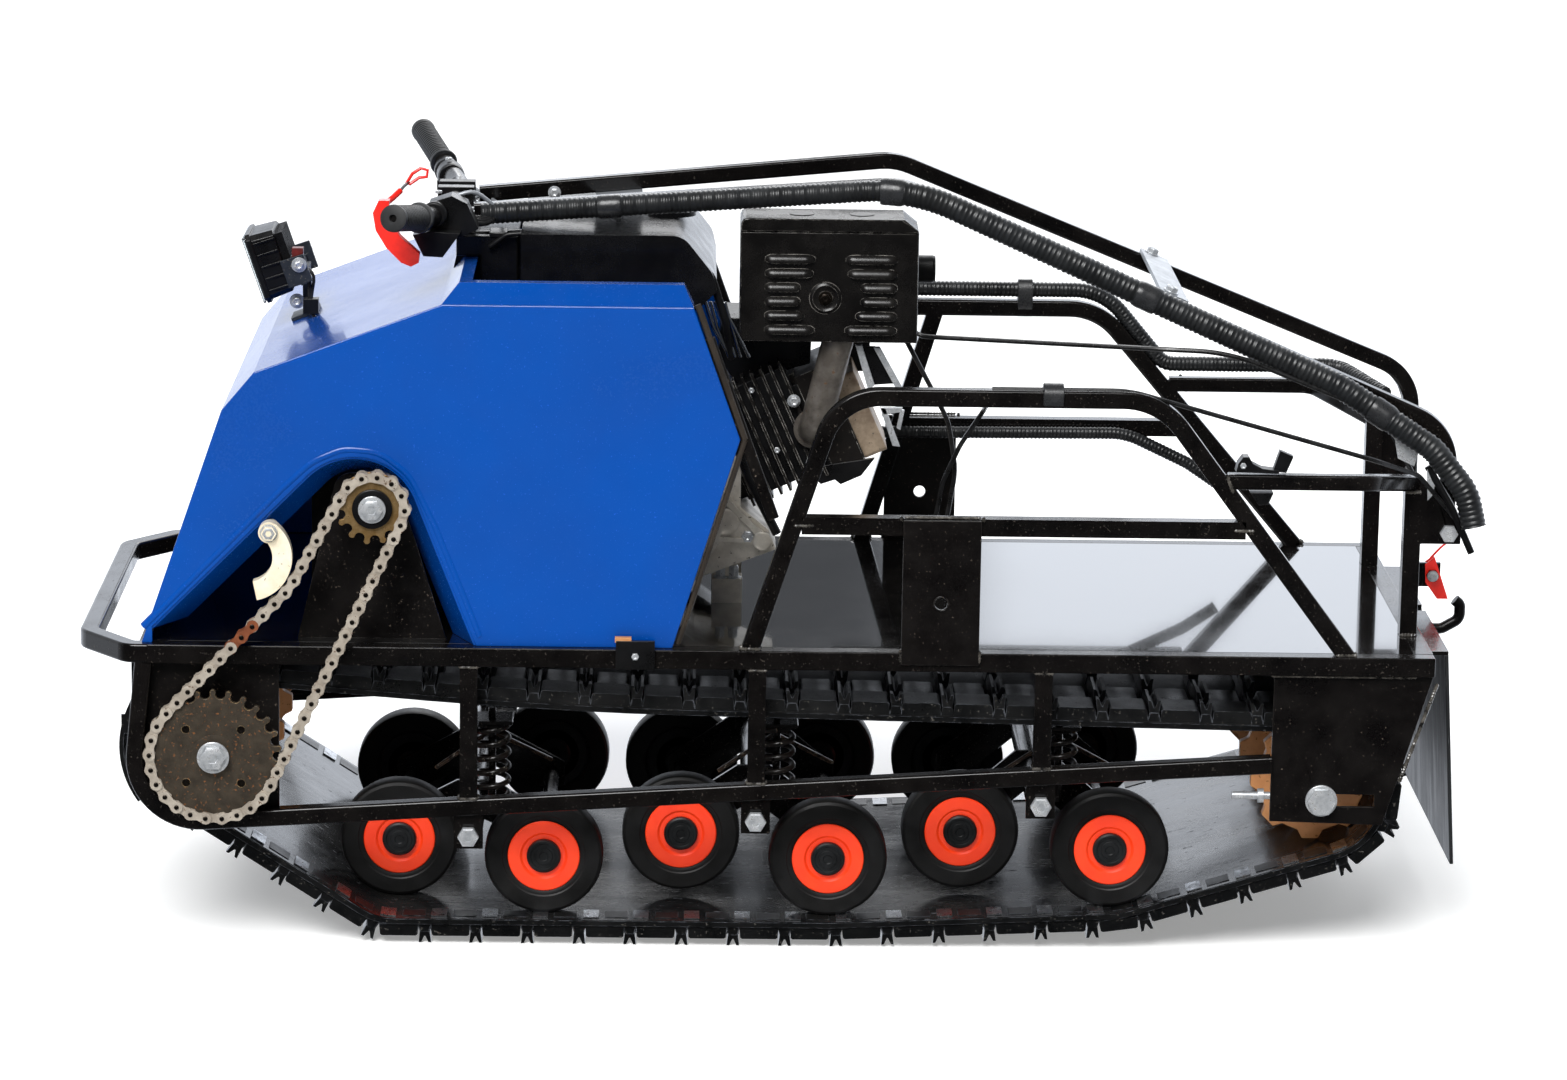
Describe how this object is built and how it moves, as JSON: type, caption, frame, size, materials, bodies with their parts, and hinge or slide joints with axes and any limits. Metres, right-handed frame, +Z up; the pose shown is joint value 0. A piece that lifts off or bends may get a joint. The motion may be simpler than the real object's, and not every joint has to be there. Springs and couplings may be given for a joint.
{
  "type": "tracked snow towing vehicle",
  "caption": "Low tug on one wide rubber track, with a front engine under a faceted hood, a railed load deck, a rear tow hook and a tow handle that folds forward over the engine.",
  "frame": {"origin": "on the ground under the middle of the vehicle", "axes": "+X forward, +Y to the vehicle's left, +Z up"},
  "size_m": [1.47, 0.606, 0.7987],
  "materials": {
    "frame_black": "gloss",
    "hood_blue": "gloss",
    "rubber_black": "satin",
    "tyre_black": "matte",
    "hub_orange": "satin",
    "star_tan": "satin",
    "zinc_steel": "satin",
    "chain_steel": "satin",
    "sprocket_steel": "satin",
    "guide_nylon": "satin",
    "engine_aluminium": "satin",
    "exhaust_steel": "satin",
    "black_plastic": "satin",
    "handlebar_black": "satin",
    "latch_red": "gloss"
  },
  "bodies": {
    "chassis": {"air_cleaner": "black_plastic", "bogie_arms": "frame_black", "bogie_axles": "zinc_steel", "bogie_springs": "zinc_steel", "chain_guide": "guide_nylon", "chain_sprockets": "sprocket_steel", "control_cables": "black_plastic", "crankcase": "engine_aluminium", "cross_members": "frame_black", "cylinder": "engine_aluminium", "deck_plate": "frame_black", "deck_rails": "frame_black", "drive_chain": "chain_steel", "electrics_box": "black_plastic", "exhaust": "exhaust_steel", "fan_housing": "black_plastic", "frame_conduits": "black_plastic", "frame_posts": "frame_black", "front_bumper": "frame_black", "front_shield": "frame_black", "front_side_plates": "frame_black", "fuel_tank": "black_plastic", "gearbox": "frame_black", "headlight": "black_plastic", "headlight_bracket": "frame_black", "hinge_bolts": "zinc_steel", "hitch_post": "frame_black", "hood_braces": "frame_black", "hood_flange": "hood_blue", "hood_side_left": "hood_blue", "hood_side_right": "hood_blue", "hood_top": "hood_blue", "hoop_bars": "frame_black", "hoop_left": "frame_black", "hoop_right": "frame_black", "jackshaft": "zinc_steel", "lower_rail_left": "frame_black", "lower_rail_right": "frame_black", "mount_plates": "frame_black", "mud_flap": "rubber_black", "muffler_guard": "frame_black", "rear_posts": "frame_black", "rear_side_plates": "frame_black", "rocker_cover": "engine_aluminium", "roller_hubs": "hub_orange", "roller_tyres": "tyre_black", "tow_hook": "frame_black", "track": "rubber_black", "track_axles": "zinc_steel", "track_stars": "star_tan"},
    "handle": {"bar_controls": "black_plastic", "draw_bar_left": "frame_black", "draw_bar_right": "frame_black", "grips": "rubber_black", "handle_conduit": "black_plastic", "handle_straps": "zinc_steel", "handlebar": "handlebar_black"},
    "latch": {"hook_latch": "latch_red"}
  },
  "joints": [
    {"name": "handle_fold", "type": "hinge", "parent": "chassis", "child": "handle", "pos_m": [-0.69, 0, 0.437], "axis": [0, -1, 0], "range_deg": [0, 140]},
    {"name": "latch_swing", "type": "hinge", "parent": "chassis", "child": "latch", "pos_m": [-0.699, 0, 0.353], "axis": [0, -1, 0], "range_deg": [0, 35], "stiffness_Nm_per_rad": 0.05, "springref_deg": -17.19}
  ]
}
